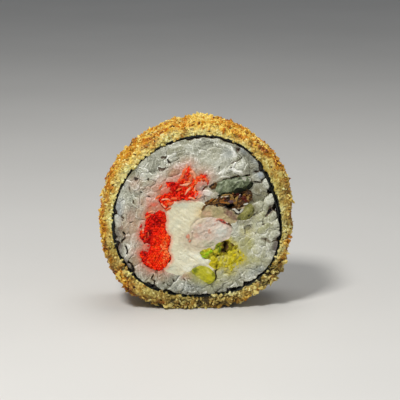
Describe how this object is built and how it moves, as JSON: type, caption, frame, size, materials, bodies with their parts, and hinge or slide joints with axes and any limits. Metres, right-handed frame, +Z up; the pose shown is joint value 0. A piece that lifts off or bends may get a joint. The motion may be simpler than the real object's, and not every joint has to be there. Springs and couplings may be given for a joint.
{
  "type": "fried sushi roll slice",
  "caption": "Round cut slice of a breaded, fried sushi roll that stands on its rim, with seaweed, rice, roe, cream cheese, shrimp, eel and avocado.",
  "frame": {"origin": "on the surface it stands on, under the centre of its bounding box", "axes": "+Z up; +Y along the roll's axis, from the cut face that shows to the back one; +X to the right as seen from the front"},
  "size_m": [0.0602, 0.0242, 0.0588],
  "materials": {
    "coating": "dry fried breadcrumbs, golden with darker brown spots, paler where cut",
    "seaweed": "thin dark green to black sheet, slightly wrinkled",
    "rice": "cooked short rice, moist, half see-through grains",
    "roe": "wet glossy orange-red eggs",
    "eel_skin": "smooth wet grey-green skin",
    "eel_glaze": "dark brown glossy glaze over flaky flesh",
    "eel_flesh": "moist beige flesh with a fine grain",
    "shrimp": "moist pink and white flesh",
    "avocado": "soft, yellow to green, moist where cut",
    "cream_cheese": "smooth pale cream with knife streaks"
  },
  "bodies": {
    "root": {"coating": "coating", "seaweed": "seaweed", "rice": "rice", "roe_slab": "roe", "roe_cluster": "roe", "eel_slab": "eel_skin", "eel_fold": "eel_skin", "eel_glazed": "eel_glaze", "shrimp": "shrimp", "eel_flesh": "eel_flesh", "avocado_upper": "avocado", "avocado_lower": "avocado", "cream_cheese": "cream_cheese"}
  },
  "joints": []
}
